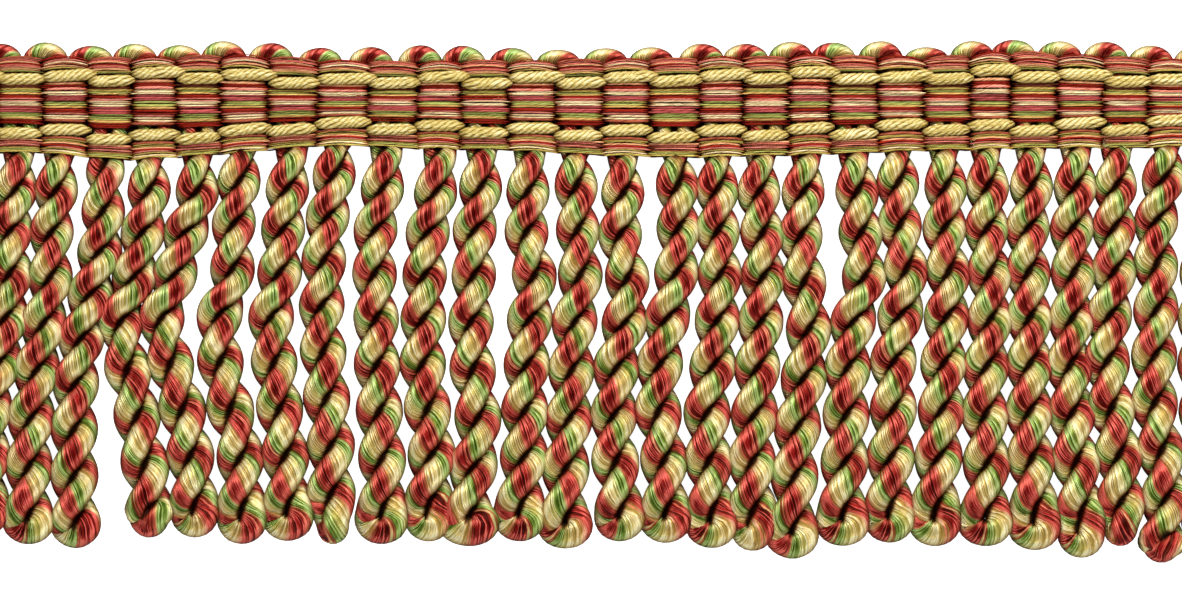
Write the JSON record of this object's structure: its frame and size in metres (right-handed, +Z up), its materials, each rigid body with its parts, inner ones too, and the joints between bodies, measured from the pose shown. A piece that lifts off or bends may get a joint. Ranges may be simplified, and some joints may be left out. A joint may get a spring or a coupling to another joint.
{
  "type": "length of bullion fringe",
  "caption": "Straight cut length of bullion fringe: a woven striped heading with gold cord rows and a scalloped edge, over a skirt of twisted looped strands.",
  "frame": {"origin": "middle of the heading's flat back, on the surface that the fringe lies on", "axes": "+X along the trimming, +Y from the loops of the strands towards the scalloped edge, +Z up out of the face"},
  "size_m": [0.2007, 0.0797, 0.0067],
  "materials": {
    "heading": "fine woven warps striped in mauve, green, gold, dark red, pink and cream, with a slight sheen",
    "gold_cord": "twisted straw gold cord with a soft sheen",
    "bullion_yarn": "silky yarn dyed in bands of red, cream and green"
  },
  "bodies": {
    "root": {"heading": "heading", "upper_cords": "gold_cord", "lower_cords": "gold_cord", "scallops": "bullion_yarn", "skirt": "bullion_yarn"}
  },
  "joints": []
}
